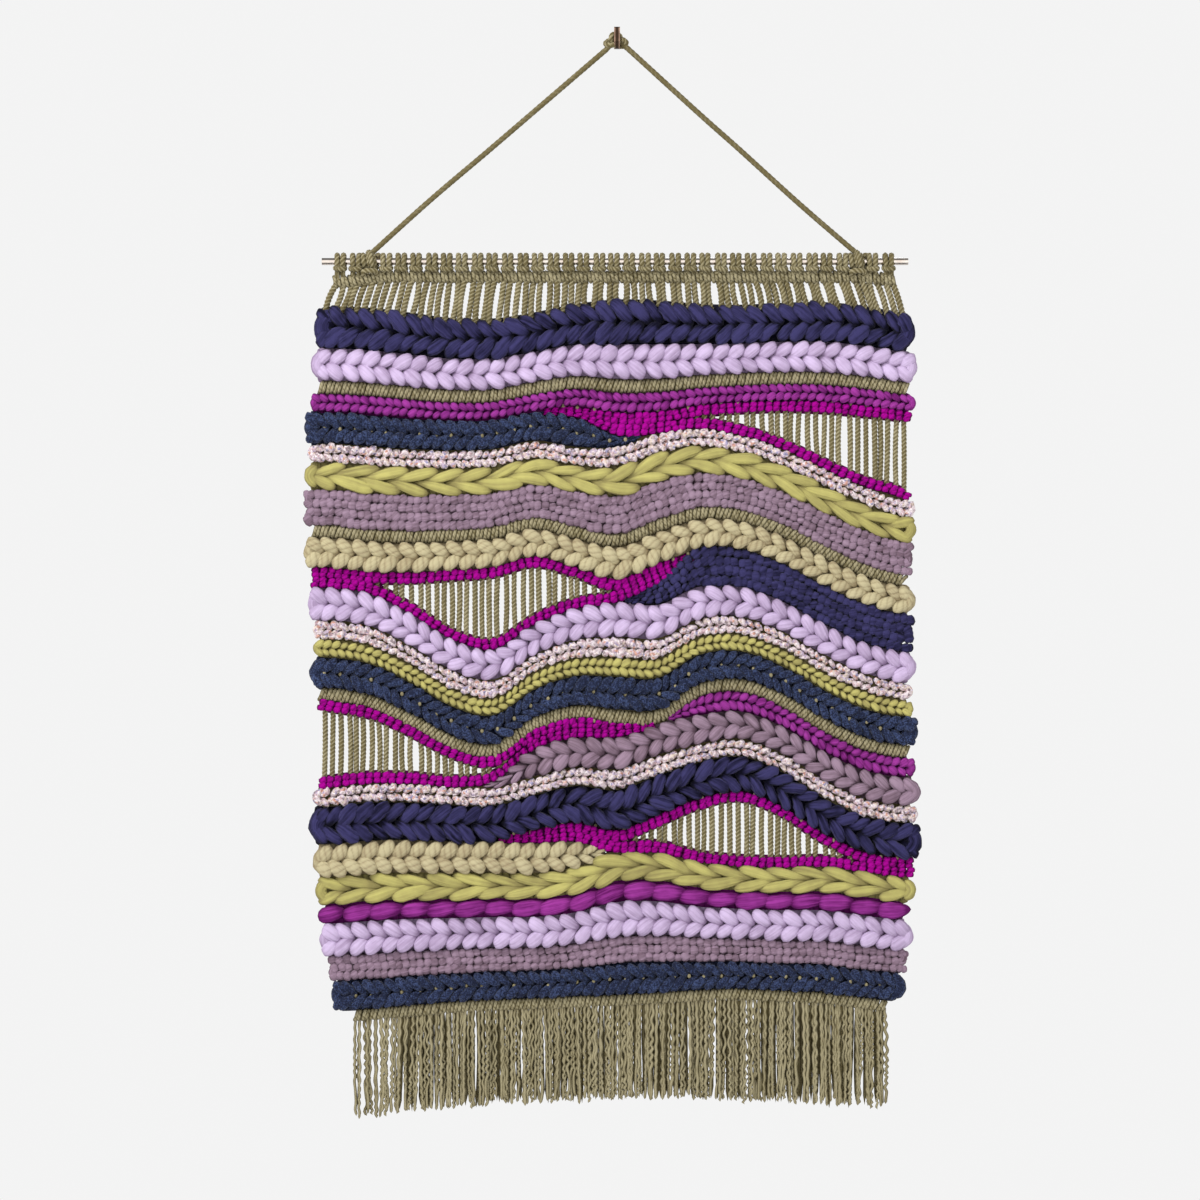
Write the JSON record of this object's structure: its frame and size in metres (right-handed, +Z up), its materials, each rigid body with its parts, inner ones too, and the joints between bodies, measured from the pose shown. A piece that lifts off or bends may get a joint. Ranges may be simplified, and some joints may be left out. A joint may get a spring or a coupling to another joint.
{
  "type": "woven tapestry with its hanging rod and hook",
  "caption": "Woven wall tapestry of wavy braided and plain bands with bare-warp openings and a fringe, on a metal rod with a cord and a wall hook.",
  "frame": {"origin": "middle of the hook's flat back, where it lies on the wall", "axes": "+Z up, +Y into the wall, so the front faces -Y, and +X to the right seen from the front"},
  "size_m": [0.525, 0.023, 0.9288],
  "materials": {
    "navy": "matte wool roving, navy",
    "lilac": "combed wool roving, pale lilac",
    "plum": "wool yarn, plum",
    "olive": "three-ply cotton cord, olive",
    "magenta": "cotton rope, magenta",
    "denim": "chenille, denim blue",
    "tweed": "flecked boucle, white and pink",
    "lime": "soft tape yarn, lime",
    "mauve": "felted wool, dusty mauve",
    "sage": "combed wool roving, pale sage",
    "steel": "polished nickel-plated steel",
    "bronze": "dark antique bronze"
  },
  "bodies": {
    "root": {"braid_denim_1": "denim", "braid_denim_2": "denim", "braid_denim_3": "denim", "braid_lilac_1": "lilac", "braid_lilac_2": "lilac", "braid_lilac_3": "lilac", "braid_lime_1": "lime", "braid_lime_2": "lime", "braid_lime_3": "lime", "braid_mauve_1": "mauve", "braid_navy_1": "navy", "braid_navy_2": "navy", "braid_plum_1": "plum", "braid_plum_2": "plum", "braid_plum_3": "plum", "braid_sage_1": "sage", "braid_sage_2": "sage", "braid_tweed_1": "tweed", "braid_tweed_2": "tweed", "braid_tweed_3": "tweed", "fringe": "olive", "hanging_cord": "olive", "heading": "olive", "hook": "bronze", "ridge_1": "olive", "ridge_2": "olive", "ridge_3": "olive", "rod": "steel", "slit_1": "magenta", "slit_2": "magenta", "slit_3": "magenta", "slit_4": "magenta", "weave_mauve_1": "mauve", "weave_mauve_2": "mauve", "weave_navy_1": "navy"}
  },
  "joints": []
}
